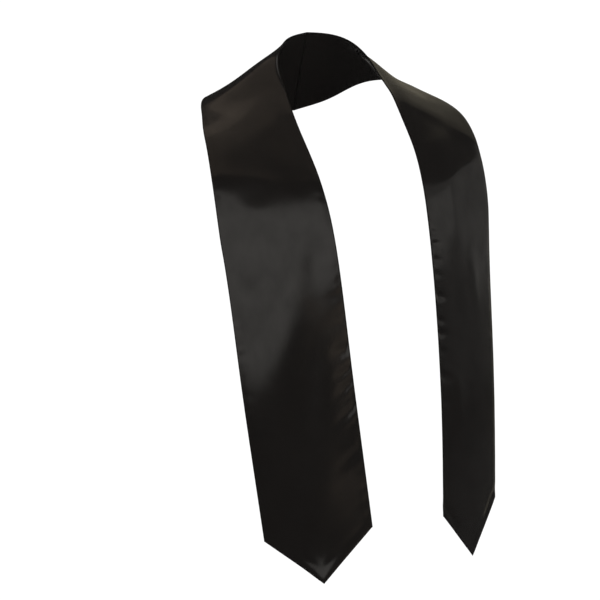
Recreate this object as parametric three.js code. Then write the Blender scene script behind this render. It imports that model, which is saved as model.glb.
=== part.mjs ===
// A plain satin graduation stole, as it hangs round the neck and over both shoulders.
// Two panels meet at a mitred seam at the centre of the back, run over the shoulders and
// hang down the front to a sewn point. Each panel is two layers of satin with interfacing
// between them, turned right side out, so it is one soft wall whose edge is rolled over.
//
// Millimetres. +Z is up, the wearer faces -Y and the wearer's left is +X. The origin is
// in the middle of the neck opening, level with the sides of the neck.

import * as THREE from "three";

// Cut sizes of one panel
const panelLength = 773; // along the middle, from the back seam to the level of the hem's corners
const pointDepth = 67; // how far the point hangs below those corners
const neckWidth = 116;
const hemWidth = 145.5;
const seamExtraWidth = 6; // the mitre makes the back seam longer than the panel is wide
const clothThickness = 1.8;
const edgeRoll = 0.8; // how far the turned edge stands out past the flat of the cloth
const backSeamGap = 0.3;

// Where the inner edge of a panel lies on the wearer
const neckHalf = 76; // from the middle to the inner edge, at its widest
const napeReach = 68; // back from the neck's axis to the seam's upper end
const napeRise = 51; // seam's upper end above the sides of the neck
const frontReach = 208; // forward from the neck's axis to the inner corner of the hem
const hangDrop = 560; // from the sides of the neck down to the inner corner of the hem

// The sections of a panel's outer face, from the back seam to just past the point. along is
// a share of panelLength. x, y and z place the inner edge: x is a share of neckHalf, y of napeReach
// behind the neck and of frontReach in front of it, z of napeRise above the origin and of
// hangDrop below it. turn and dip aim the section from its inner to its outer edge, in
// degrees: turn swings it backwards from straight sideways, and dip tips its outer end
// down. The last three are shares of neckWidth: bow lifts the middle of the section, sway
// bends it into a shallow S, and stand is the depth of the dip beside the inner edge where
// that edge stands up against the neck.
const sections = [
  { along: 0.0, x: 0.0, y: 1.0, z: 1.0, turn: 89.5, dip: 69, bow: 0.016, sway: 0.0, stand: 0.0 },
  { along: 0.05, x: 0.356, y: 0.911, z: 0.941, turn: 65.5, dip: 60, bow: 0.014, sway: 0.0, stand: 0.0 },
  { along: 0.1, x: 0.665, y: 0.636, z: 0.78, turn: 54, dip: 40.5, bow: 0.03, sway: 0.01, stand: 0.014 },
  { along: 0.15, x: 0.88, y: 0.324, z: 0.402, turn: 41, dip: 25.5, bow: 0.01, sway: 0.01, stand: 0.024 },
  { along: 0.2, x: 0.951, y: -0.017, z: -0.004, turn: 30, dip: 19, bow: -0.008, sway: 0.01, stand: 0.018 },
  { along: 0.25, x: 1.004, y: -0.15, z: -0.048, turn: 22.5, dip: 12.3, bow: 0.008, sway: 0.01, stand: 0.006 },
  { along: 0.3, x: 1.01, y: -0.28, z: -0.0985, turn: 17.6, dip: 6.7, bow: 0.026, sway: 0.0, stand: 0.0 },
  { along: 0.36, x: 0.991, y: -0.436, z: -0.16, turn: 18.9, dip: 7.1, bow: 0.026, sway: 0.0, stand: 0.0 },
  { along: 0.44, x: 0.937, y: -0.589, z: -0.2535, turn: 21, dip: 7.6, bow: 0.026, sway: 0.0, stand: 0.0 },
  { along: 0.55, x: 0.904, y: -0.718, z: -0.3965, turn: 23.8, dip: 8.2, bow: 0.026, sway: 0.0, stand: 0.0 },
  { along: 0.7, x: 0.87, y: -0.83, z: -0.598, turn: 27.4, dip: 8.8, bow: 0.026, sway: 0.0, stand: 0.0 },
  { along: 0.85, x: 0.803, y: -0.922, z: -0.799, turn: 30.4, dip: 9.3, bow: 0.025, sway: 0.0, stand: 0.0 },
  { along: 1.0, x: 0.712, y: -1.0, z: -1.0, turn: 32.7, dip: 9.8, bow: 0.023, sway: 0.0, stand: 0.0 },
  { along: 1.1, x: 0.65, y: -1.05, z: -1.134, turn: 34.2, dip: 10.1, bow: 0.022, sway: 0.0, stand: 0.0 },
];

// The left panel is the same cut but doesn't hang quite the same way. These are added to
// its sections: x and z as shares of neckWidth, turn and dip in degrees.
const leftDrift = [
  { along: 0.0, x: 0.0, z: 0.0, turn: 0.0, dip: 0.0 },
  { along: 0.2, x: 0.0, z: -0.004, turn: -0.4, dip: -0.1 },
  { along: 0.36, x: 0.01, z: -0.005, turn: -0.2, dip: -0.4 },
  { along: 0.44, x: 0.017, z: -0.006, turn: 1.3, dip: 0.4 },
  { along: 0.55, x: 0.008, z: -0.009, turn: 2.3, dip: 0.4 },
  { along: 0.7, x: 0.004, z: -0.014, turn: 0.7, dip: -0.3 },
  { along: 0.85, x: 0.004, z: -0.029, turn: -1.6, dip: -1.0 },
  { along: 1.0, x: 0.0, z: -0.056, turn: -3.7, dip: -1.7 },
  { along: 1.1, x: 0.0, z: -0.075, turn: -5.0, dip: -2.2 },
];

// Where the panel widens from neckWidth to hemWidth, and where the mitre's extra width
// has died away, as shares of panelLength
const flareStart = 0.2;
const flareEnd = 0.49;
const mitreEnd = 0.1;
const standShare = 0.09; // the dip beside a standing edge is deepest this share of the width in

// Mesh density
const rowCount = 54;
const columnShares = [0, 0.03, 0.07, 0.13, 0.22, 0.35, 0.5, 0.65, 0.8, 0.92, 1];
const pointBlendStart = 0.72; // rows above this share run straight across, below it they bend to the point
const slopeStep = 0.002;

const degree = Math.PI / 180;
const satin = new THREE.MeshStandardMaterial({ color: 0x1d1b1a, roughness: 0.36, metalness: 0 });

// A curve through values at rising places that bends as little as it can. It returns a
// function that reads the curve at any place.
function smoothCurve(places, values) {
  const last = places.length - 1;
  const bend = new Array(last + 1).fill(0);
  const carry = new Array(last + 1).fill(0);
  for (let i = 1; i < last; i++) {
    const before = places[i] - places[i - 1];
    const after = places[i + 1] - places[i];
    const slopeChange = (values[i + 1] - values[i]) / after - (values[i] - values[i - 1]) / before;
    const weight = before / (before + after);
    const pivot = weight * bend[i - 1] + 2;
    bend[i] = (weight - 1) / pivot;
    carry[i] = ((6 * slopeChange) / (before + after) - weight * carry[i - 1]) / pivot;
  }
  const curvature = new Array(last + 1).fill(0);
  for (let i = last - 1; i > 0; i--) curvature[i] = bend[i] * curvature[i + 1] + carry[i];

  return (place) => {
    let i = 0;
    while (i < last - 1 && place > places[i + 1]) i++;
    const step = places[i + 1] - places[i];
    const far = (place - places[i]) / step;
    const near = 1 - far;
    const lift = (near ** 3 - near) * curvature[i] + (far ** 3 - far) * curvature[i + 1];
    return near * values[i] + far * values[i + 1] + (lift * step ** 2) / 6;
  };
}

const curveOf = (table, pick) =>
  smoothCurve(
    table.map((row) => row.along),
    table.map(pick),
  );

// A share is of one size where it's positive and of another where it's negative.
const spanOf = (share, positive, negative) => share * (share > 0 ? positive : negative);

// Both panels stand off the middle by this much, so their rolled edges never touch.
const seamClearance = backSeamGap / 2 + edgeRoll;

// Curves that place a panel's inner edge and aim its sections. drift is 1 for a panel that
// hangs by leftDrift too and 0 for one that doesn't.
function hangCurves(drift) {
  const sum = (pick, pickDrift) => {
    const base = curveOf(sections, pick);
    const extra = curveOf(leftDrift, pickDrift);
    return (along) => base(along) + drift * extra(along);
  };
  return {
    x: sum(
      (row) => THREE.MathUtils.lerp(seamClearance, neckHalf, row.x),
      (row) => row.x * neckWidth,
    ),
    y: curveOf(sections, (row) => spanOf(row.y, napeReach, frontReach)),
    z: sum((row) => spanOf(row.z, napeRise, hangDrop), (row) => row.z * neckWidth),
    turn: sum((row) => row.turn * degree, (row) => row.turn * degree),
    dip: sum((row) => row.dip * degree, (row) => row.dip * degree),
    bow: curveOf(sections, (row) => row.bow * neckWidth),
    sway: curveOf(sections, (row) => row.sway * neckWidth),
    stand: curveOf(sections, (row) => row.stand * neckWidth),
  };
}

function widthAt(along) {
  const flare = THREE.MathUtils.smoothstep(along, flareStart, flareEnd);
  const mitre = Math.max(0, 1 - along / mitreEnd) ** 2;
  return neckWidth + (hemWidth - neckWidth) * flare + seamExtraWidth * mitre;
}

// Both surfaces below give a point for along, a share of the panel's length, and across,
// which runs from 0 at the inner edge to 1 at the outer edge.
function outwardFrom(surface, along, across) {
  const lengthwise = surface(along + slopeStep, across).sub(surface(along - slopeStep, across));
  const sideways = surface(along, across + slopeStep).sub(surface(along, across - slopeStep));
  return lengthwise.cross(sideways).normalize();
}

// The surface that straight sections would make, short of the rolled edge on either side
const straightSurface = (hang) => (along, across) => {
  const [turn, dip] = [hang.turn(along), hang.dip(along)];
  const aim = new THREE.Vector3(
    Math.cos(dip) * Math.cos(turn),
    Math.cos(dip) * Math.sin(turn),
    -Math.sin(dip),
  );
  const edge = new THREE.Vector3(hang.x(along), hang.y(along), hang.z(along));
  const flatWidth = widthAt(along) - 2 * edgeRoll;
  return edge.addScaledVector(aim, edgeRoll + across * flatWidth);
};

// The middle layer of the cloth, with the sections bent
const clothSurface = (hang) => {
  const straight = straightSurface(hang);
  return (along, across) => {
    const bow = 4 * across * (1 - across) * hang.bow(along);
    const sway = Math.sin(2 * Math.PI * across) * hang.sway(along);
    const fromEdge = across / standShare;
    const stand = fromEdge * Math.exp(1 - fromEdge) * hang.stand(along);
    const lift = outwardFrom(straight, along, across);
    return straight(along, across).addScaledVector(lift, bow + sway - stand - clothThickness / 2);
  };
};

// Rows run straight across the panel at the back seam and bend towards the hem until the
// last one is the hem itself, with its point in the middle.
function alongAt(rowShare, across) {
  const blend = THREE.MathUtils.smoothstep(rowShare, pointBlendStart, 1);
  const towardsPoint = 1 - Math.abs(2 * across - 1);
  return (rowShare * (panelLength - edgeRoll) + blend * towardsPoint * pointDepth) / panelLength;
}

function clothGrid(hang) {
  const cloth = clothSurface(hang);
  return Array.from({ length: rowCount }, (_, row) =>
    columnShares.map((across) => {
      const along = alongAt(row / (rowCount - 1), across);
      return { place: cloth(along, across), out: outwardFrom(cloth, along, across) };
    }),
  );
}

// The panel is a front sheet and a back sheet of points, and a rolled rim between them
// that runs once round the outline.
function panelGeometry(hang) {
  const grid = clothGrid(hang);
  const vertices = [];
  const triangles = [];
  const add = (point) => vertices.push(point.x, point.y, point.z) / 3 - 1;
  const quad = (a, b, c, d) => triangles.push(a, b, c, a, c, d);

  const sheetAt = (side) =>
    grid.map((cells) =>
      cells.map(({ place, out }) => add(place.clone().addScaledVector(out, (side * clothThickness) / 2))),
    );
  const face = sheetAt(1);
  const reverse = sheetAt(-1);

  const lastRow = rowCount - 1;
  const lastColumn = columnShares.length - 1;
  for (let row = 0; row < lastRow; row++) {
    for (let column = 0; column < lastColumn; column++) {
      const [r, c] = [row + 1, column + 1];
      quad(face[row][column], face[r][column], face[r][c], face[row][c]);
      quad(reverse[row][column], reverse[row][c], reverse[r][c], reverse[r][column]);
    }
  }

  const outline = [];
  for (let row = 0; row < lastRow; row++) outline.push([row, 0]);
  for (let column = 0; column < lastColumn; column++) outline.push([lastRow, column]);
  for (let row = lastRow; row > 0; row--) outline.push([row, lastColumn]);
  for (let column = lastColumn; column > 0; column--) outline.push([0, column]);

  const placeAt = (i) => {
    const [row, column] = outline[(i + outline.length) % outline.length];
    return grid[row][column].place;
  };
  const rim = outline.map(([row, column], i) => {
    const { place, out } = grid[row][column];
    const forwards = placeAt(i + 1).clone().sub(placeAt(i - 1));
    const outwards = forwards.cross(out).normalize();
    return add(place.clone().addScaledVector(outwards, edgeRoll));
  });

  outline.forEach(([row, column], i) => {
    const j = (i + 1) % outline.length;
    const [nextRow, nextColumn] = outline[j];
    quad(face[row][column], rim[i], rim[j], face[nextRow][nextColumn]);
    quad(rim[i], reverse[row][column], reverse[nextRow][nextColumn], rim[j]);
  });

  const geometry = new THREE.BufferGeometry();
  geometry.setAttribute("position", new THREE.Float32BufferAttribute(vertices, 3));
  geometry.setIndex(triangles);
  return geometry;
}

// The sections are written for the wearer's left. For the right the points change side and
// the faces turn round with them.
function mirrored(geometry) {
  geometry.scale(-1, 1, 1);
  const index = geometry.getIndex();
  for (let i = 0; i < index.count; i += 3) {
    const second = index.getX(i + 1);
    index.setX(i + 1, index.getX(i + 2));
    index.setX(i + 2, second);
  }
  return geometry;
}

function panelMesh(name, geometry) {
  geometry.computeVertexNormals();
  const mesh = new THREE.Mesh(geometry, satin);
  mesh.name = name;
  return mesh;
}

const stole = new THREE.Group();
stole.add(panelMesh("left_panel", panelGeometry(hangCurves(1))));
stole.add(panelMesh("right_panel", mirrored(panelGeometry(hangCurves(0)))));

export default stole;
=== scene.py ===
# %% [markdown]
# A plain satin stole, as it hangs round the neck and over both shoulders. Its CAD model gives
# the true sizes and the places of its two panels, but its cloth is coarse and has no finish.
# This lesson makes the cloth again at the same place, fine enough to pucker along its seams,
# and gives it satin, thread, light and a camera. Loading the frame brings the CAD model in,
# and its solids are kept so that the finished cloth can be measured against them.

import math

import bpy
import numpy as np
from mathutils import Matrix, Vector
from mathutils.bvhtree import BVHTree


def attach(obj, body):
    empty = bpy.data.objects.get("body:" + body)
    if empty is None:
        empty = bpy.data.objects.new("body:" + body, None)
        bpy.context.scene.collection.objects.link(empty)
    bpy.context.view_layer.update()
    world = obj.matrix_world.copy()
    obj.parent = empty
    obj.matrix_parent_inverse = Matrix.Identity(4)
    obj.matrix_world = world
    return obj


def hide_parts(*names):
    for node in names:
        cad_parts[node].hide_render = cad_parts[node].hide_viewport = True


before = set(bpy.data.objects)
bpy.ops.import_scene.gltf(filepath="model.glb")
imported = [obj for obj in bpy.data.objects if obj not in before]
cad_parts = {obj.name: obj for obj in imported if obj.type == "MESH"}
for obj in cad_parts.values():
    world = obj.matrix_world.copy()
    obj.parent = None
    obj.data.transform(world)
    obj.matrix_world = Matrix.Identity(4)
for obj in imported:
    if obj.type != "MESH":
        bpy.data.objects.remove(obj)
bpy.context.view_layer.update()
print("CAD nodes:", sorted(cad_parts))

# %% [markdown]
# A stole is cut flat, so its sizes come first: each panel is a long band that widens over the
# shoulder and ends in a point. They are the CAD's own sizes, in metres, because Blender and the
# CAD share one frame: +Z is up, the wearer faces -Y and the wearer's left is +X.

# %% Name the cut sizes
MM = 0.001
panel_length = 773 * MM
point_depth = 67 * MM
neck_width = 116 * MM
hem_width = 145.5 * MM
seam_extra_width = 6 * MM
cloth_thickness = 1.8 * MM
edge_roll = 0.8 * MM
back_seam_gap = 0.3 * MM
flare_start, flare_end = 0.2, 0.49
mitre_end = 0.1
stand_share = 0.09
point_blend_start = 0.72
print("Panel length with its point in metres:", round(panel_length + point_depth, 4))

# %% Name where the inner edges lie on the wearer
neck_half = 76 * MM
nape_reach = 68 * MM
nape_rise = 51 * MM
front_reach = 208 * MM
hang_drop = 560 * MM
seam_clearance = back_seam_gap / 2 + edge_roll
print("Width of the neck opening in metres:", round(2 * neck_half, 4))

# %% [markdown]
# Cloth that is worn has no single radius. It could be draped by a cloth simulation over a body,
# but then its outline would fall where the simulation lets it, not where the real one lies.
# Here a table of sections says how the cloth lies at a few places along its length, and smooth
# curves carry it from one to the next. Each row places the inner edge, with x, y and z as
# shares of the lengths just named, and aims the section from there to the outer edge: turn
# swings it backwards and dip tips it down, in degrees. The last three columns bend the section,
# as shares of the neck width, and so are x and z where the left panel drifts.

# %% Write down the sections of a panel
section_columns = ("along", "x", "y", "z", "turn", "dip", "bow", "sway", "stand")
sections = np.array([
    (0.0, 0.0, 1.0, 1.0, 89.5, 69, 0.016, 0, 0),
    (0.05, 0.356, 0.911, 0.941, 65.5, 60, 0.014, 0, 0),
    (0.1, 0.665, 0.636, 0.78, 54, 40.5, 0.03, 0.01, 0.014),
    (0.15, 0.88, 0.324, 0.402, 41, 25.5, 0.01, 0.01, 0.024),
    (0.2, 0.951, -0.017, -0.004, 30, 19, -0.008, 0.01, 0.018),
    (0.25, 1.004, -0.15, -0.048, 22.5, 12.3, 0.008, 0.01, 0.006),
    (0.3, 1.01, -0.28, -0.0985, 17.6, 6.7, 0.026, 0, 0),
    (0.36, 0.991, -0.436, -0.16, 18.9, 7.1, 0.026, 0, 0),
    (0.44, 0.937, -0.589, -0.2535, 21, 7.6, 0.026, 0, 0),
    (0.55, 0.904, -0.718, -0.3965, 23.8, 8.2, 0.026, 0, 0),
    (0.7, 0.87, -0.83, -0.598, 27.4, 8.8, 0.026, 0, 0),
    (0.85, 0.803, -0.922, -0.799, 30.4, 9.3, 0.025, 0, 0),
    (1.0, 0.712, -1.0, -1.0, 32.7, 9.8, 0.023, 0, 0),
    (1.1, 0.65, -1.05, -1.134, 34.2, 10.1, 0.022, 0, 0),
])
drift_columns = ("along", "x", "z", "turn", "dip")
left_drift = np.array([
    (0.0, 0, 0, 0, 0),
    (0.2, 0, -0.004, -0.4, -0.1),
    (0.36, 0.01, -0.005, -0.2, -0.4),
    (0.44, 0.017, -0.006, 1.3, 0.4),
    (0.55, 0.008, -0.009, 2.3, 0.4),
    (0.7, 0.004, -0.014, 0.7, -0.3),
    (0.85, 0.004, -0.029, -1.6, -1.0),
    (1.0, 0, -0.056, -3.7, -1.7),
    (1.1, 0, -0.075, -5.0, -2.2),
])
print("Sections:", len(sections), "and places where the left panel drifts:", len(left_drift))

# %% Draw a smooth curve through a column


def smooth_curve(places, values):
    """A curve through values at rising places that bends as little as it can."""
    step = np.diff(places)
    slope = np.diff(values) / step
    system = np.diag(2 * (step[:-1] + step[1:]))
    system += np.diag(step[1:-1], 1) + np.diag(step[1:-1], -1)
    curvature = np.zeros(len(places))
    curvature[1:-1] = np.linalg.solve(system, 6 * np.diff(slope))
    last_piece = len(step) - 1

    def read(place):
        piece = np.clip(np.searchsorted(places, place) - 1, 0, last_piece)
        far = (place - places[piece]) / step[piece]
        near = 1 - far
        bend = (near**3 - near) * curvature[piece] + (far**3 - far) * curvature[piece + 1]
        return near * values[piece] + far * values[piece + 1] + bend * step[piece] ** 2 / 6

    return read


def smooth_step(value, start, end):
    share = np.clip((value - start) / (end - start), 0, 1)
    return share * share * (3 - 2 * share)


def span_of(share, positive, negative):
    """A share of one length if it is positive and of the other if it is negative."""
    return np.where(share > 0, share * positive, share * negative)


def hang_curves(drift):
    """Curves that place and aim a panel. drift is 1 for the left panel and 0 for the right."""
    base = dict(zip(section_columns, sections.T))
    extra = dict(zip(drift_columns, left_drift.T))
    placed = {
        "x": seam_clearance + base["x"] * (neck_half - seam_clearance),
        "y": span_of(base["y"], nape_reach, front_reach),
        "z": span_of(base["z"], nape_rise, hang_drop),
        "turn": np.radians(base["turn"]),
        "dip": np.radians(base["dip"]),
        "bow": base["bow"] * neck_width,
        "sway": base["sway"] * neck_width,
        "stand": base["stand"] * neck_width,
    }
    added = {
        "x": extra["x"] * neck_width,
        "z": extra["z"] * neck_width,
        "turn": np.radians(extra["turn"]),
        "dip": np.radians(extra["dip"]),
    }
    curves = {name: smooth_curve(base["along"], values) for name, values in placed.items()}
    drifts = {name: smooth_curve(extra["along"], values) for name, values in added.items()}

    def read(name, along):
        value = curves[name](along)
        if drift and name in drifts:
            value = value + drift * drifts[name](along)
        return value

    return read


# %% [markdown]
# The cloth is a surface with two directions. along is a share of the panel's length from the
# seam at the back of the neck, and across runs from 0 at the inner edge to 1 at the outer one.
# A surface that is written as a function can be read at any fineness, so the same few numbers
# that made the coarse solid also place a mesh of many thousand points.

# %% Turn the sections into a surface


def width_at(along):
    flare = smooth_step(along, flare_start, flare_end)
    mitre = np.maximum(0, 1 - along / mitre_end) ** 2
    return neck_width + (hem_width - neck_width) * flare + seam_extra_width * mitre


def straight_surface(hang):
    """The surface that straight sections would make."""

    def surface(along, across):
        turn, dip = hang("turn", along), hang("dip", along)
        aim = np.stack([np.cos(dip) * np.cos(turn), np.cos(dip) * np.sin(turn), -np.sin(dip)], -1)
        edge = np.stack([hang("x", along), hang("y", along), hang("z", along)], -1)
        flat_width = width_at(along) - 2 * edge_roll
        return edge + aim * (edge_roll + across * flat_width)[..., None]

    return surface


slope_step = 0.002
print("Width at the back seam in metres:", round(float(width_at(0.0)), 4))


def outward_from(surface, along, across):
    lengthwise = surface(along + slope_step, across) - surface(along - slope_step, across)
    sideways = surface(along, across + slope_step) - surface(along, across - slope_step)
    out = np.cross(lengthwise, sideways)
    return out / np.linalg.norm(out, axis=-1, keepdims=True)


def cloth_surface(hang):
    """The middle layer of the cloth, with the sections bent."""
    straight = straight_surface(hang)

    def surface(along, across):
        bow = 4 * across * (1 - across) * hang("bow", along)
        sway = np.sin(2 * np.pi * across) * hang("sway", along)
        from_edge = across / stand_share
        stand = from_edge * np.exp(1 - from_edge) * hang("stand", along)
        lift = bow + sway - stand - cloth_thickness / 2
        out = outward_from(straight, along, across)
        return straight(along, across) + out * lift[..., None]

    return surface


# %% [markdown]
# A mesh shows only what its points can carry. A seam pucker is a few millimetres wide, so rows
# stand about 1.5 mm apart, and columns crowd towards both edges, where the turned cloth
# rounds over within a millimetre. Rows run straight across at the neck and bend towards the
# hem, so that the last one is the sewn point itself and its corners stay crisp.

# %% Choose the rows and columns
body_rows = 520
half_columns = 11
turn_steps = 4
turn_radius = cloth_thickness / 2
quarter_turn = math.pi / 2
turn_angles = [quarter_turn * step / turn_steps for step in range(turn_steps)]
turned = [turn_radius * (1 - math.cos(angle)) for angle in turn_angles]
flat_gaps = (0.9, 1.5, 2.3, 3.3, 4.4, 5.6, 6.8, 8, 9.2, 10.4, 11.7, 13.2)
edge_gaps = np.array([*turned, *[gap * MM for gap in flat_gaps]])
last_gap = edge_gaps[-1]


def column_gaps(along):
    """Distances of the columns from the inner edge, for rows at these places along."""
    width = width_at(along)[:, None]
    middle = width / 2
    shares = np.arange(1, half_columns + 1) / half_columns
    inner = np.broadcast_to(edge_gaps, (len(along), len(edge_gaps)))
    towards_middle = last_gap + (middle - last_gap) * shares
    first_half = np.concatenate([inner, towards_middle], axis=1)
    second_half = width - first_half[:, -2::-1]
    return np.concatenate([first_half, second_half], axis=1)


def row_gaps():
    """Distances of the rows from the back seam, measured along the outline to the hem."""
    body_start = edge_gaps[turn_steps]
    ends = edge_gaps[:turn_steps]
    length = panel_length + seam_clearance
    body = np.linspace(body_start, length - body_start, body_rows)
    return np.concatenate([ends, body, length - ends[::-1]])


def cloth_places():
    """along, across and the distances from the four edges, for every point of the grid."""
    rows = row_gaps()
    from_seam = rows - seam_clearance
    gap = column_gaps(from_seam / panel_length)
    width = width_at(from_seam / panel_length)[:, None]
    row_share = (from_seam / panel_length)[:, None]
    across = (gap - edge_roll) / (width - 2 * edge_roll)
    towards_point = 1 - np.abs(2 * np.clip(across, 0, 1) - 1)
    blend = smooth_step(row_share, point_blend_start, 1)
    along = row_share + blend * towards_point * point_depth / panel_length
    slant = math.atan2(point_depth, hem_width / 2)
    return {
        "along": along,
        "across": across,
        "inner": gap,
        "outer": width - gap,
        "hem": np.broadcast_to((panel_length - from_seam)[:, None] * math.cos(slant), gap.shape),
        "seam": np.broadcast_to(rows[:, None], gap.shape),
    }


places = cloth_places()
print("Rows and columns of cloth:", places["along"].shape)

# %% [markdown]
# Two layers of satin are sewn face to face and turned, so the seam allowances lie inside, along
# every edge, and press a faint step into the face about a centimetre in. The thread draws the
# seam up a little, and the cloth beside it puckers in short slanting dips. The clearest ones,
# on the inner edges, are placed one by one; the rest are scattered by a seeded generator, as a
# machine leaves them.

# %% Press the seam allowance into the face
allowance_width = 10.5 * MM
allowance_fade = 7 * MM
allowance_height = 0.08 * MM
edge_fall = 0.1 * MM
edge_fall_reach = 14 * MM
outer_edge_fall = 0.25 * MM
outer_edge_fall_reach = 6 * MM


def nearest_edge(place):
    sides = np.minimum(place["inner"], place["outer"])
    ends = np.minimum(place["hem"], place["seam"])
    return np.minimum(sides, ends)


def half_thickness(place):
    """Half the cloth's thickness: round at the edge, a little less past the seam allowance."""
    gap = nearest_edge(place)
    round_share = np.clip(gap / turn_radius, 0, 1)
    rounded = turn_radius * np.sqrt(1 - (1 - round_share) ** 2)
    fade_start = allowance_width - allowance_fade / 2
    fade_end = allowance_width + allowance_fade / 2
    return rounded - smooth_step(gap, fade_start, fade_end) * allowance_height


def edge_relief(place):
    """The turned edge is thick and stiff, so the face falls away a little towards it."""
    inner_fall = edge_fall * np.exp(-((place["inner"] / edge_fall_reach) ** 2))
    outer_fall = outer_edge_fall * np.exp(-((place["outer"] / outer_edge_fall_reach) ** 2))
    return -inner_fall - outer_fall


# %% Pucker the cloth beside its seams
pucker_rise = 5 * MM
pucker_lip = 0.4
pucker_hold = 0.25


def pucker(run, gap, at, depth, half_width, reach, slant):
    """One dip beside a seam. run is the distance along the seam and gap the distance from it."""
    from_centre = (run - at - slant * gap) / half_width
    fade_in = smooth_step(gap, 0, pucker_rise)
    fade_out = 1 - smooth_step(gap, reach * pucker_hold, reach)
    profile = np.exp(-(from_centre**2) / 2)
    return -depth * (1 - pucker_lip * from_centre**2) * profile * fade_in * fade_out


# at is a share of the panel's length; depth, half width and reach are in millimetres
inner_puckers = {
    "right_panel": [
        (0.545, 0.05, 4.5, 20, 0.3), (0.567, 0.06, 5, 24, 0.5), (0.59, 0.16, 6.5, 30, 0.2),
        (0.615, 0.1, 5, 34, 0.5), (0.638, 0.26, 7, 38, 0.1), (0.684, 0.75, 8.5, 32, 0.2),
        (0.716, 0.38, 5.5, 32, 0.5), (0.738, 0.42, 6, 38, 0.8), (0.76, 0.18, 6, 30, 0.7),
        (0.78, 0.48, 7, 40, 0.8), (0.808, 0.14, 5, 24, 0.6), (0.856, 0.3, 8.5, 44, 0.7),
    ],
    "left_panel": [
        (0.484, 0.25, 4, 22, 0.1), (0.509, 0.42, 4.2, 25, 0.1), (0.529, 0.48, 4, 26, 0.0),
        (0.556, 0.3, 4.5, 24, 0.1), (0.58, 0.25, 4, 22, 0.2), (0.618, 0.95, 5.5, 30, 0.1),
        (0.66, 0.7, 4.5, 25, 0.1), (0.684, 0.9, 5, 28, 0.0), (0.714, 0.5, 4.5, 24, 0.1),
        (0.757, 0.8, 5.5, 28, 0.2), (0.8, 0.3, 5, 24, 0.2),
    ],
}
scatter_spacing = (13 * MM, 30 * MM)
scatter_depth = (0.02 * MM, 0.1 * MM)
scatter_half_width = (3.5 * MM, 5.5 * MM)
scatter_reach = (12 * MM, 24 * MM)
scatter_slant = (-0.3, 0.7)
print("Placed puckers:", {panel: len(rows) for panel, rows in inner_puckers.items()})


def scattered_puckers(run, gap, start, end, seed):
    """Light puckers at uneven places between start and end of a seam."""
    dice = np.random.RandomState(seed)
    total = np.zeros_like(gap)
    at = start + dice.uniform(*scatter_spacing)
    while at < end:
        spans = (scatter_depth, scatter_half_width, scatter_reach, scatter_slant)
        total += pucker(run, gap, at, *(dice.uniform(*span) for span in spans))
        at += dice.uniform(*scatter_spacing)
    return total


def seam_relief(place, panel, seed):
    """All puckers of one panel: the placed ones on the inner edge and scattered ones elsewhere."""
    run, inner, outer = place["along"] * panel_length, place["inner"], place["outer"]
    relief = edge_relief(place)
    for at, depth, half_width, reach, slant in inner_puckers[panel]:
        lengths = (at * panel_length, depth * MM, half_width * MM, reach * MM)
        relief += pucker(run, inner, *lengths, slant)
    first, last = inner_puckers[panel][0][0], inner_puckers[panel][-1][0]
    relief += scattered_puckers(run, inner, 0, first * panel_length, seed)
    relief += scattered_puckers(run, inner, last * panel_length, panel_length, seed + 1)
    relief += scattered_puckers(run, outer, 0, panel_length, seed + 2)
    return relief


# %% [markdown]
# Hanging cloth is never quite smooth. Long shallow folds, a few tenths of a millimetre to over
# three millimetres high, bend its highlights into wavy bands. Each is a soft ridge or dip with a
# place, a direction and a size, which is easier to steer than noise. Waves too faint to see by
# themselves then break the straight edges of the light. At the point the seam allowances are
# folded over each other, so the stiff tip lifts a little and a crease runs above it.

# %% Lay soft folds over the panels
# along, across, angle in degrees from straight across, then length, width and height in mm
soft_folds = {
    "right_panel": [
        (0.35, 0.68, -17, 60, 25, 0.85),
        (0.332, 0.98, -55, 60, 38, 3.3),
        (0.4, 0.6, -16, 24, 22, -0.75),
        (0.43, 0.33, -4, 43, 20, -0.25),
        (0.39, 0.05, -3, 14, 20, 0.9),
        (0.53, 0.2, 80, 36, 19, -1.05),
        (0.51, 0.91, 107, 64, 22, 1.4),
        (0.56, 0.5, 26, 45, 19, 0.2),
        (0.68, 0.62, 65, 110, 38, 1.75),
        (0.71, 0.51, 74, 59, 25, 0.2),
        (0.72, 0.2, 81, 90, 22, 0.9),
        (0.89, 0.62, 71, 42, 23, -0.45),
        (0.95, 0.12, 98, 46, 31, -0.9),
    ],
    "left_panel": [
        (0.3, 0.62, 20, 34, 25, -1.0),
        (0.3, 0.45, 33, 78, 12, 1.5),
        (0.4, 0.73, 4, 30, 16, 0.5),
        (0.42, 0.44, -22, 55, 17, 1.3),
        (0.47, 0.39, 85, 55, 21, 1.7),
        (0.6, 0.67, 87, 64, 11, 0.55),
        (0.8, 0.29, 87, 60, 13, 1.1),
        (0.94, 0.52, 72, 68, 16, 0.9),
    ],
}
print("Soft folds:", {panel: len(rows) for panel, rows in soft_folds.items()})


def fold_relief(place, panel):
    """The sum of a panel's ridges and dips, each a soft hill on the cloth."""
    run = place["along"] * panel_length
    side = place["inner"]
    relief = np.zeros_like(run)
    for along, across, angle, length, width, height in soft_folds[panel]:
        down = run - along * panel_length
        out = side - across * hem_width
        turn = math.radians(angle)
        lengthwise = out * math.cos(turn) + down * math.sin(turn)
        crosswise = down * math.cos(turn) - out * math.sin(turn)
        fall = (lengthwise / (length * MM)) ** 2 + (crosswise / (width * MM)) ** 2
        relief += height * MM * np.exp(-fall)
    return relief


# %% Ripple the cloth faintly
ripple_count = 14
ripple_lengths = (22 * MM, 75 * MM)
ripple_steepness = 0.0002
print("Height of the longest ripple in mm:", round(ripple_steepness * ripple_lengths[1] / MM, 3))


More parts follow.
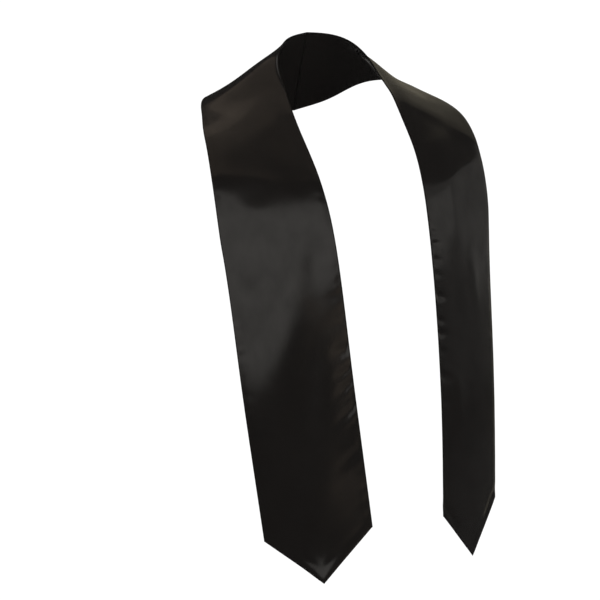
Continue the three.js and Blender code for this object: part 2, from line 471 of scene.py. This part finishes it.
def ripple_relief(place, seed):
    """Faint waves in all directions, as pressed satin keeps them. Long ones are higher."""
    dice = np.random.RandomState(seed)
    relief = np.zeros_like(place["along"])
    for _ in range(ripple_count):
        length = dice.uniform(*ripple_lengths)
        turn = dice.uniform(0, math.pi)
        start = dice.uniform(0, 1)
        travel = place["along"] * panel_length * math.cos(turn) + place["inner"] * math.sin(turn)
        relief += ripple_steepness * length * np.sin(math.tau * (travel / length + start))
    return relief


# %% Curl the point
point_curl_reach = 30 * MM
point_rib_width = 16 * MM
point_crease_gap = 12.5 * MM
point_crease_width = 5 * MM
corner_crease_gap = 10 * MM
corner_crease_width = 4.5 * MM
corner_crease_side = 55 * MM
corner_crease_reach = 18 * MM
point_shapes = {
    # height of the curl and the rib, depth of the creases at the tip and the corners, in mm
    "right_panel": (2.8, 1.6, 0.22, 0.1),
    "left_panel": (0.8, 0.3, 0.3, 1.15),
}


def point_relief(place, panel):
    """The cloth folded inside the point is stiff: the tip lifts and creases run beside the hem."""
    curl, rib, crease, corner_crease = point_shapes[panel]
    from_tip = panel_length + point_depth - edge_roll - place["along"] * panel_length
    side = (place["across"] - 0.5) * hem_width
    near = np.exp(-((from_tip / point_curl_reach) ** 2))
    middle = np.exp(-((side / point_curl_reach) ** 2))
    lift = curl * middle + rib * np.exp(-((side / point_rib_width) ** 2))
    line = np.exp(-(((place["hem"] - point_crease_gap) / point_crease_width) ** 2))
    corner = np.exp(-(((np.abs(side) - corner_crease_side) / corner_crease_reach) ** 2))
    corner_line = np.exp(-(((place["hem"] - corner_crease_gap) / corner_crease_width) ** 2))
    return (lift * near - crease * line * middle - corner_crease * corner_line * corner) * MM


# %% [markdown]
# Now the points become a closed piece of cloth: a face and a reverse that share the points of
# the outline, where the thickness shrinks to nothing along a round. The reverse could come
# from a Solidify modifier, but its square edge would have to be rounded again. A UV map in
# metres goes with each panel, so that the weave follows the cloth round the neck at its true
# size, and the distance from the nearest edge is stored for the material to use.

# %% Build one panel
seam_draw = 14 * MM


def panel_points(hang, panel, seed):
    """The points of the face and the reverse. The seam's edge is drawn in to the middle."""
    surface = cloth_surface(hang)
    middle = surface(places["along"], places["across"])
    out = outward_from(surface, places["along"], places["across"])
    relief = seam_relief(places, panel, seed) + fold_relief(places, panel)
    relief += ripple_relief(places, seed + 3) + point_relief(places, panel)
    middle = middle + out * relief[..., None]
    near_seam = 1 - smooth_step(places["seam"], 0, seam_draw)
    middle[..., 0] -= middle[:1, :, 0] * near_seam
    half = half_thickness(places)[..., None]
    face, reverse = middle + out * half, middle - out * half
    face[0, :, 0] = 0
    return face, reverse


def panel_faces(rows, columns):
    """Quads of the face and the reverse, which share the points of the outline."""
    face = np.arange(rows * columns).reshape(rows, columns)
    reverse = face.copy()
    inner_count = (rows - 2) * (columns - 2)
    reverse[1:-1, 1:-1] = rows * columns + np.arange(inner_count).reshape(rows - 2, columns - 2)

    def quads(grid, order):
        corners = (grid[:-1, :-1], grid[1:, :-1], grid[1:, 1:], grid[:-1, 1:])
        return np.stack([corners[i] for i in order], -1).reshape(-1, 4)

    return quads(face, (0, 1, 2, 3)), quads(reverse, (0, 3, 2, 1))


reverse_uv_shift = 0.2


def make_panel(name, drift, mirror, seed):
    face_points, reverse_points = panel_points(hang_curves(drift), name, seed)
    rows, columns = places["along"].shape
    inner_reverse = reverse_points[1:-1, 1:-1].reshape(-1, 3)
    points = np.concatenate([face_points.reshape(-1, 3), inner_reverse])
    face_quads, reverse_quads = panel_faces(rows, columns)
    quads = np.concatenate([face_quads, reverse_quads])
    if mirror:
        points = points * np.array([-1, 1, 1])
        quads = quads[:, ::-1]
    mesh = bpy.data.meshes.new(name + "_cloth")
    mesh.from_pydata(points.tolist(), [], quads.tolist())

    cloth_uv = np.stack([places["inner"], places["along"] * panel_length], -1)
    inner_uv = cloth_uv[1:-1, 1:-1].reshape(-1, 2)
    point_uv = np.concatenate([cloth_uv.reshape(-1, 2), inner_uv])
    corner_uv = point_uv[quads.reshape(-1)]
    corner_uv[len(face_quads) * 4 :, 0] += reverse_uv_shift
    layer = mesh.uv_layers.new(name="cloth")
    layer.data.foreach_set("uv", corner_uv.reshape(-1))

    gap = nearest_edge(places)
    point_gap = np.concatenate([gap.reshape(-1), gap[1:-1, 1:-1].reshape(-1)])
    attribute = mesh.attributes.new("edge_distance", "FLOAT", "POINT")
    attribute.data.foreach_set("value", point_gap)

    mesh.polygons.foreach_set("use_smooth", [True] * len(mesh.polygons))
    mesh.update()
    piece = bpy.data.objects.new(name + "_cloth", mesh)
    bpy.context.collection.objects.link(piece)
    return piece


left_cloth = make_panel("left_panel", drift=1, mirror=False, seed=11)
right_cloth = make_panel("right_panel", drift=0, mirror=True, seed=23)
for cloth in (left_cloth, right_cloth):
    print(cloth.name, "quads:", len(cloth.data.polygons))

# %% Measure the cloth against the CAD


def distance_from_cad(cloth, node):
    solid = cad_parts[node]
    tree = BVHTree.FromObject(solid, bpy.context.evaluated_depsgraph_get())
    return max(tree.find_nearest(vertex.co)[3] for vertex in cloth.data.vertices)


def sheet_area(cloth):
    """Half the surface of a closed sheet is the area of the cloth."""
    return sum(polygon.area for polygon in cloth.data.polygons) / 2


for cloth, node in ((left_cloth, "left_panel"), (right_cloth, "right_panel")):
    farthest = distance_from_cad(cloth, node) / MM
    print(cloth.name, "farthest point from the CAD in mm:", round(farthest, 2))
    print(cloth.name, "area in square metres:", round(sheet_area(cloth), 4))

# %% Tie the cloth to the frame
for cloth, node in ((left_cloth, "left_panel"), (right_cloth, "right_panel")):
    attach(cloth, "root")
    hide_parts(node)

# %% [markdown]
# The panels meet at the centre of the back in a seam drawn together by hand, with short rungs of
# thread between the two rolled edges. A stitch that repeats is work for Geometry Nodes: one
# rung is made from a line and a circle, and copies of it stand at even steps along the seam.
# The tree has named inputs for its sizes and ends in real mesh, which the script keeps.

# %% Draw the seam line
stitch_spacing = 3.4 * MM
stitch_length = 1.5 * MM
thread_radius = 0.14 * MM
stitch_depth = 0.35 * MM
seam_steps = 60


def seam_line():
    """Points down the middle of the back seam, a little below the face."""
    surface = cloth_surface(hang_curves(0))
    across = np.linspace(0, 1, seam_steps)
    along = np.zeros_like(across)
    points = surface(along, across)
    out = outward_from(surface, along, across)
    points = points + out * (cloth_thickness / 2 - stitch_depth)
    points[:, 0] = 0
    return points


seam_mesh = bpy.data.meshes.new("back_seam_stitches")
seam_points = seam_line()
seam_edges = [(step, step + 1) for step in range(len(seam_points) - 1)]
seam_mesh.from_pydata(seam_points.tolist(), seam_edges, [])
seam_stitches = bpy.data.objects.new("back_seam_stitches", seam_mesh)
bpy.context.collection.objects.link(seam_stitches)
seam_length = float(np.linalg.norm(np.diff(seam_points, axis=0), axis=1).sum())
print("Back seam length in metres:", round(seam_length, 4))

# %% [markdown]
# Shader maths reads best as ordinary maths. A small class wraps a node's output and turns +, -
# and * into Math nodes, and one method makes any other node from its type, its settings and
# the values or links of its sockets.

# %% Wrap sockets so that sums build nodes


class Wire:
    """One output of a shader node that can be added, subtracted and multiplied."""

    def __init__(self, bench, socket):
        self.bench = bench
        self.socket = socket

    def maths(self, operation, first, second):
        return self.bench.node("ShaderNodeMath", {"operation": operation}, {0: first, 1: second})

    def __add__(self, other):
        return self.maths("ADD", self, other)

    __radd__ = __add__

    def __sub__(self, other):
        return self.maths("SUBTRACT", self, other)

    def __mul__(self, other):
        return self.maths("MULTIPLY", self, other)


class Bench:
    """A material's node tree and the one way nodes are added to it."""

    def __init__(self, name):
        self.material = bpy.data.materials.new(name)
        self.material.use_nodes = True
        self.tree = self.material.node_tree
        self.tree.nodes.clear()

    def node(self, kind, settings=None, inputs=None, output=0):
        made = self.tree.nodes.new(kind)
        for setting, value in (settings or {}).items():
            setattr(made, setting, value)
        for socket, value in (inputs or {}).items():
            if isinstance(value, Wire):
                self.tree.links.new(value.socket, made.inputs[socket])
            else:
                made.inputs[socket].default_value = value
        return Wire(self, made.outputs[output])

    def finish(self, surface):
        out = self.tree.nodes.new("ShaderNodeOutputMaterial")
        self.tree.links.new(surface.socket, out.inputs["Surface"])
        return self.material


# %% [markdown]
# Satin is woven with long floats that lie side by side, so it shines softly and its colour
# hardly shows. Black satin is nearly all shine: a very dark, slightly warm base under a broad
# gloss. Fine streaks along the warp, uneven gloss where the cloth was pressed and a tight weave
# too small to count keep the gloss from looking like plastic.

# %% Make the black satin
satin_dark = (0.0056, 0.0048, 0.0044, 1)
satin_light = (0.0075, 0.0066, 0.006, 1)
satin_roughness, satin_ior = 0.13, 1.5
satin_sheen, sheen_roughness = 0.02, 0.5
cloud_gloss, streak_gloss = 0.06, 0.05
fold_roughness, fold_specular = 0.6, 0.15
fold_dullness = 0.85
fold_start, fold_end = 0.5 * MM, 1.8 * MM
worn_dullness, worn_level = 0.6, 0.3
# blotches for each metre across and along the cloth, and how many layers of finer ones
streak_noise = (1100, 45, 2)
slub_noise = (55, 700, 2)
cloud_noise = (20, 13, 3)
worn_noise = (42, 30, 2)
slub_share = 0.7
weft_share = 0.5
mix_factor, mix_a, mix_b, mix_colour_out = 0, 6, 7, 2
weft_slant = 0.5
weave_pitch = 0.45 * MM
weave_relief = 0.0015 * MM
slub_relief = 0.006 * MM


def mix_colour(bench, factor, first, second):
    values = {mix_factor: factor, mix_a: first, mix_b: second}
    return bench.node("ShaderNodeMix", {"data_type": "RGBA"}, values, mix_colour_out)


def cloth_noise(bench, uv, across_scale, along_scale, detail):
    """Noise stretched over the cloth: the scales are blotches for each metre."""
    stretched = bench.node(
        "ShaderNodeMapping", None, {"Vector": uv, "Scale": (across_scale, along_scale, 1)}
    )
    inputs = {"Vector": stretched, "Scale": 1, "Detail": detail}
    return bench.node("ShaderNodeTexNoise", None, inputs)


def weave_height(bench, uv):
    """Two sets of fine ribs crossing, the warp floats stronger than the weft."""
    turns = math.tau / weave_pitch
    split = bench.node("ShaderNodeSeparateXYZ", None, {"Vector": uv})
    across = Wire(bench, split.socket.node.outputs["X"])
    along = Wire(bench, split.socket.node.outputs["Y"])
    warp = bench.node("ShaderNodeMath", {"operation": "SINE"}, {0: across * turns})
    slanted = (across + along * weft_slant) * turns
    weft = bench.node("ShaderNodeMath", {"operation": "SINE"}, {0: slanted})
    return warp + weft * weft_share


def bump(bench, height, distance, normal=None):
    inputs = {"Height": height, "Distance": distance, "Strength": 1.0}
    if normal is not None:
        inputs["Normal"] = normal
    return bench.node("ShaderNodeBump", None, inputs)


def make_satin():
    bench = Bench("black_satin")
    uv = bench.node("ShaderNodeUVMap", {"uv_map": "cloth"})
    gap = bench.node("ShaderNodeAttribute", {"attribute_name": "edge_distance"}, output="Fac")
    streaks = cloth_noise(bench, uv, *streak_noise)
    slubs = cloth_noise(bench, uv, *slub_noise)
    clouds = cloth_noise(bench, uv, *cloud_noise)
    worn = cloth_noise(bench, uv, *worn_noise)
    fade = {"Value": gap, "From Min": fold_start, "From Max": fold_end, "To Min": 1, "To Max": 0}
    edge = bench.node("ShaderNodeMapRange", {"interpolation_type": "SMOOTHSTEP"}, fade)
    base = mix_colour(bench, clouds, satin_dark, satin_light)
    roughness = satin_roughness + (clouds - 0.5) * cloud_gloss + (streaks - 0.5) * streak_gloss
    relief = bump(bench, weave_height(bench, uv), weave_relief)
    relief = bump(bench, streaks + slubs * slub_share, slub_relief, relief)
    glossy = {
        "Base Color": base,
        "Roughness": roughness,
        "Normal": relief,
        "IOR": satin_ior,
        "Sheen Weight": satin_sheen,
        "Sheen Roughness": sheen_roughness,
    }
    face = bench.node("ShaderNodeBsdfPrincipled", None, glossy)
    folded = {
        "Base Color": satin_dark,
        "Roughness": fold_roughness,
        "Normal": relief,
        "Specular IOR Level": fold_specular,
    }
    fold = bench.node("ShaderNodeBsdfPrincipled", None, folded)
    dull = edge * fold_dullness + (worn - worn_level) * worn_dullness
    return bench.finish(bench.node("ShaderNodeMixShader", None, {0: dull, 1: face, 2: fold}))


satin = make_satin()
for cloth in (left_cloth, right_cloth):
    cloth.data.materials.append(satin)
print("Satin nodes:", len(satin.node_tree.nodes))

# %% [markdown]
# Sewing thread is two fine plies twisted together, duller than satin. Slanted bands across the
# strand make the twist, and Object coordinates are enough because a stitch has no UV map.

# %% Make the sewing thread
thread_dark, thread_light = (0.006, 0.0055, 0.005, 1), (0.014, 0.013, 0.012, 1)
thread_twists, twist_wobble = 900, 0.5
twist_relief = 0.03 * MM
thread_roughness, twist_roughness = 0.55, 0.1


def make_thread():
    bench = Bench("black_thread")
    coordinates = bench.node("ShaderNodeTexCoord", output="Object")
    bands = bench.node(
        "ShaderNodeTexWave",
        {"wave_type": "BANDS", "bands_direction": "DIAGONAL"},
        {"Vector": coordinates, "Scale": thread_twists, "Distortion": twist_wobble},
        "Fac",
    )
    base = mix_colour(bench, bands, thread_dark, thread_light)
    relief = bump(bench, bands, twist_relief)
    roughness = thread_roughness + bands * twist_roughness
    inputs = {"Base Color": base, "Roughness": roughness, "Normal": relief}
    return bench.finish(bench.node("ShaderNodeBsdfPrincipled", None, inputs))


thread = make_thread()
print("Thread nodes:", len(thread.node_tree.nodes))

# %% Sew the back seam with Geometry Nodes
strand_sides = 6
stitch_tilt = 0.18
stitch_seed = 7
random_low, random_high, random_out = 2, 3, 1


def stitch_tree():
    tree = bpy.data.node_groups.new("ladder_stitches", "GeometryNodeTree")
    sockets = {}
    tree.interface.new_socket("Geometry", in_out="OUTPUT", socket_type="NodeSocketGeometry")
    wanted = (
        ("Seam", "NodeSocketGeometry"),
        ("Stitch spacing", "NodeSocketFloat"),
        ("Stitch length", "NodeSocketFloat"),
        ("Thread radius", "NodeSocketFloat"),
        ("Thread", "NodeSocketMaterial"),
    )
    for name, kind in wanted:
        socket = tree.interface.new_socket(name, in_out="INPUT", socket_type=kind)
        sockets[name] = socket.identifier
    start = tree.nodes.new("NodeGroupInput").outputs

    def add(kind, settings=None, inputs=None):
        made = tree.nodes.new(kind)
        for setting, value in (settings or {}).items():
            setattr(made, setting, value)
        for socket, value in (inputs or {}).items():
            if isinstance(value, bpy.types.NodeSocket):
                tree.links.new(value, made.inputs[socket])
            else:
                made.inputs[socket].default_value = value
        return made.outputs

    half = add("ShaderNodeMath", {"operation": "MULTIPLY"}, {0: start["Stitch length"], 1: 0.5})[0]
    other = add("ShaderNodeMath", {"operation": "MULTIPLY"}, {0: half, 1: -1.0})[0]
    right_end = add("ShaderNodeCombineXYZ", None, {"X": half})[0]
    left_end = add("ShaderNodeCombineXYZ", None, {"X": other})[0]
    rung = add("GeometryNodeCurvePrimitiveLine", None, {"Start": left_end, "End": right_end})[0]
    round_strand = {"Resolution": strand_sides, "Radius": start["Thread radius"]}
    strand = add("GeometryNodeCurvePrimitiveCircle", None, round_strand)[0]
    sweep = {"Curve": rung, "Profile Curve": strand, "Fill Caps": True}
    swept = add("GeometryNodeCurveToMesh", None, sweep)[0]
    line = add("GeometryNodeMeshToCurve", None, {"Mesh": start["Seam"]})[0]
    steps = {"Curve": line, "Length": start["Stitch spacing"]}
    spaced = add("GeometryNodeResampleCurve", {"mode": "LENGTH"}, steps)[0]
    tilts = {random_low: -stitch_tilt, random_high: stitch_tilt, "Seed": stitch_seed}
    tilt = add("FunctionNodeRandomValue", {"data_type": "FLOAT"}, tilts)[random_out]
    turn = add("ShaderNodeCombineXYZ", None, {"Z": tilt})[0]
    rungs = {"Points": spaced, "Instance": swept, "Rotation": turn}
    placed = add("GeometryNodeInstanceOnPoints", None, rungs)[0]
    real = add("GeometryNodeRealizeInstances", None, {"Geometry": placed})[0]
    dressing = {"Geometry": real, "Material": start["Thread"]}
    dressed = add("GeometryNodeSetMaterial", None, dressing)[0]
    end = tree.nodes.new("NodeGroupOutput")
    tree.links.new(dressed, end.inputs["Geometry"])
    return tree, sockets


def settle(piece, tree, values):
    """Runs the tree on the piece once and keeps its result as plain mesh."""
    modifier = piece.modifiers.new("stitching", "NODES")
    modifier.node_group = tree
    for identifier, value in values.items():
        modifier[identifier] = value
    evaluated = piece.evaluated_get(bpy.context.evaluated_depsgraph_get())
    mesh = bpy.data.meshes.new_from_object(evaluated)
    piece.modifiers.remove(modifier)
    piece.data = mesh
    return piece


tree, sockets = stitch_tree()
stitch_values = {
    sockets["Stitch spacing"]: stitch_spacing,
    sockets["Stitch length"]: stitch_length,
    sockets["Thread radius"]: thread_radius,
    sockets["Thread"]: thread,
}
settle(seam_stitches, tree, stitch_values)
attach(seam_stitches, "root")
print("Stitch faces:", len(seam_stitches.data.polygons))

# %% [markdown] List the cloth pieces

for cloth in (left_cloth, right_cloth):
    print("Declared as a draped sheet:", cloth.name)

# %% [markdown]
# The stage is a pale floor that runs out past the picture, and a world of the same tone. Both
# light the cloth evenly from all sides but are hidden from its gloss, because a glossy black
# cloth shows whatever stands round it, and the softboxes alone should draw its shine. The
# floor has no gloss either, so its far edge melts into the world.

# %% Set the stage
floor_drop = 1.3
floor_radius = 30
floor_sides = 64
pale, pale_spot = (0.95, 0.95, 0.95, 1), (0.94, 0.94, 0.94, 1)
mottle_scale, mottle_detail = 3, 2
world_glow = 1.13


def make_floor():
    bench = Bench("pale_floor")
    coordinates = bench.node("ShaderNodeTexCoord", output="Object")
    spots = {"Vector": coordinates, "Scale": mottle_scale, "Detail": mottle_detail}
    mottle = bench.node("ShaderNodeTexNoise", None, spots)
    base = mix_colour(bench, mottle, pale, pale_spot)
    inputs = {"Base Color": base, "Roughness": 1.0, "Specular IOR Level": 0.0}
    material = bench.finish(bench.node("ShaderNodeBsdfPrincipled", None, inputs))
    ring = [math.tau * step / floor_sides for step in range(floor_sides)]
    points = [(math.cos(angle), math.sin(angle)) for angle in ring]
    points = [(x * floor_radius, y * floor_radius, -floor_drop) for x, y in points]
    mesh = bpy.data.meshes.new("floor")
    mesh.from_pydata(points, [], [list(range(len(points)))])
    mesh.materials.append(material)
    floor = bpy.data.objects.new("floor", mesh)
    bpy.context.collection.objects.link(floor)
    floor.visible_glossy = False
    return floor


floor = make_floor()
world = bpy.data.worlds.new("studio")
world.use_nodes = True
world.node_tree.nodes["Background"].inputs["Color"].default_value = (1, 1, 1, 1)
world.node_tree.nodes["Background"].inputs["Strength"].default_value = world_glow
world.cycles_visibility.glossy = False
bpy.context.scene.world = world
print("Floor corners:", len(floor.data.vertices), "and world glow:", world_glow)

# %% [markdown]
# Each softbox is an area light that is placed by the direction in which it stands from the
# cloth: azimuth 0 is straight in front, 90 is on the wearer's left, and the height is in degrees
# too. Its glow is how bright it looks, and its power follows from its size, so a box can be
# made larger without growing brighter. The boxes are linked to the cloth alone, so the floor
# stays even. The front box makes the bright part of the right panel, and a dark card in front
# of it, a flag, cuts off its lower corner, so that the light ends in a slant. Three weak warm
# boxes stand closer than the flag and fill what it darkens. The boxes on the wearer's left and
# above are weak too. Others stand where the camera's own view doesn't reflect them, and draw a
# shine on the right side, the back and the reverse.

# %% Hang the softboxes
flag_distance = 5.6
light_centre = Vector((0, 0, -0.3))
white, cream, warm = (1, 0.97, 0.92), (1, 0.9, 0.66), (1, 0.8, 0.62)
softboxes = [
    # name, distance, azimuth, height, width and tallness in degrees, tilt, glow, tint
    ("front_box", 6.0, -30, 11, 47, 36, 14, 0.87, white),
    ("fill_box", 4.2, -2, -9, 36, 27, -27, 0.27, warm),
    ("small_box", 4.2, -13, 1, 17, 12, 10, 0.17, warm),
    ("low_box", 4.2, -15, -27, 36, 13, -29, 0.36, warm),
    ("side_box", 6.0, 90, 3, 62, 19, -23, 0.23, white),
    ("edge_box", 6.0, 67, 6, 16, 14, 0, 0.2, white),
    ("dim_box", 6.0, 84, -8, 26, 7, -14, 0.055, white),
    ("side_low_box", 6.0, 92, -21, 26, 9, 0, 0.03, white),
    ("far_box", 6.0, 126, 12, 66, 70, 10, 0.18, cream),
    ("top_box", 6.0, -99, 65, 94, 49, -10, 0.26, warm),
    ("sky_box", 6.0, 86, 78, 100, 24, -7, 0.11, warm),
    ("nape_box", 6.0, 170, 52, 34, 22, 0, 0.12, warm),
    ("right_box", 6.0, -95, 4, 26, 40, 0, 0.5, white),
    ("front_left_box", 6.0, 37, 3, 20, 44, 12, 0.32, white),
    ("back_box", 6.0, -150, 8, 40, 30, 0, 0.5, white),
    ("reverse_left_box", 6.0, 163, -32, 70, 24, 0, 0.35, white),
    ("reverse_right_box", 6.0, -163, -32, 70, 24, 0, 0.35, white),
]
# azimuth and height of each corner of the flag, in degrees
flag_corners = [(3, 24), (-47, -17), (5, -35)]
lit_pieces = bpy.data.collections.new("lit_by_softboxes")
for piece in (left_cloth, right_cloth, seam_stitches):
    lit_pieces.objects.link(piece)


def direction(azimuth, height):
    """From the cloth towards a place at this azimuth and height, in degrees."""
    side, rise = math.radians(azimuth), math.radians(height)
    level = math.cos(rise)
    return Vector((math.sin(side) * level, -math.cos(side) * level, math.sin(rise)))


def hang_softbox(name, distance, azimuth, height, width, tallness, tilt, glow, tint):
    towards = direction(azimuth, height)
    data = bpy.data.lights.new(name, "AREA")
    data.shape = "RECTANGLE"
    data.size = 2 * distance * math.tan(math.radians(width) / 2)
    data.size_y = 2 * distance * math.tan(math.radians(tallness) / 2)
    data.energy = glow * math.pi * data.size * data.size_y
    data.color = tint
    light = bpy.data.objects.new(name, data)
    across = Vector((0, 0, 1)).cross(towards).normalized()
    aim = Matrix((across, towards.cross(across), towards)).transposed()
    turn = Matrix.Rotation(math.radians(tilt), 3, towards)
    place = Matrix.Translation(light_centre + towards * distance)
    light.matrix_world = place @ (turn @ aim).to_4x4()
    light.visible_camera = False
    light.light_linking.receiver_collection = lit_pieces
    bpy.context.collection.objects.link(light)
    return light


for box in softboxes:
    light = hang_softbox(*box)
    print(light.name, "power in watts:", round(light.data.energy))


def hang_flag():
    bench = Bench("flag_black")
    inputs = {"Base Color": (0, 0, 0, 1), "Roughness": 1.0, "Specular IOR Level": 0.0}
    material = bench.finish(bench.node("ShaderNodeBsdfPrincipled", None, inputs))
    points = [light_centre + direction(*corner) * flag_distance for corner in flag_corners]
    mesh = bpy.data.meshes.new("flag")
    mesh.from_pydata([tuple(point) for point in points], [], [list(range(len(points)))])
    mesh.materials.append(material)
    flag = bpy.data.objects.new("flag", mesh)
    bpy.context.collection.objects.link(flag)
    flag.visible_camera = False
    flag.visible_diffuse = False
    return flag


flag = hang_flag()
print("Flag corners:", len(flag.data.vertices))

# %% [markdown]
# The camera stands to the wearer's right, a little above the neck, with a long lens, as in
# the photograph. Its place is written as a direction and a distance from a point on the stole,
# and its lens follows from how many pixels wide the picture is. The picture is turned by less
# than a degree.

# %% Place the camera
picture_width = 600
sensor_width = 36
focal_pixels = 2027.1
camera_azimuth = -27.0061
camera_height = 15.7867
camera_distance = 2.7843
camera_roll = -0.7858
aim_right = -0.04501
aim_up = -0.30901
sight_limit = 200


def place_camera():
    side = math.radians(camera_azimuth)
    back = direction(camera_azimuth, camera_height)
    right = Vector((math.cos(side), math.sin(side), 0))
    up = back.cross(right)
    eye = right * aim_right + Vector((0, 0, aim_up)) + back * camera_distance
    roll = math.radians(camera_roll)
    rolled_right = right * math.cos(roll) + up * math.sin(roll)
    rolled_up = up * math.cos(roll) - right * math.sin(roll)
    camera = bpy.data.objects.new("camera", bpy.data.cameras.new("camera"))
    camera.data.sensor_width = sensor_width
    camera.data.lens = sensor_width * focal_pixels / picture_width
    camera.data.clip_end = sight_limit
    turned_to = Matrix((rolled_right, rolled_up, back)).transposed()
    camera.matrix_world = Matrix.Translation(eye) @ turned_to.to_4x4()
    bpy.context.collection.objects.link(camera)
    return camera


bpy.context.scene.camera = place_camera()
bpy.context.scene.view_settings.view_transform = "Standard"
print("Lens in millimetres:", round(bpy.context.scene.camera.data.lens, 2))
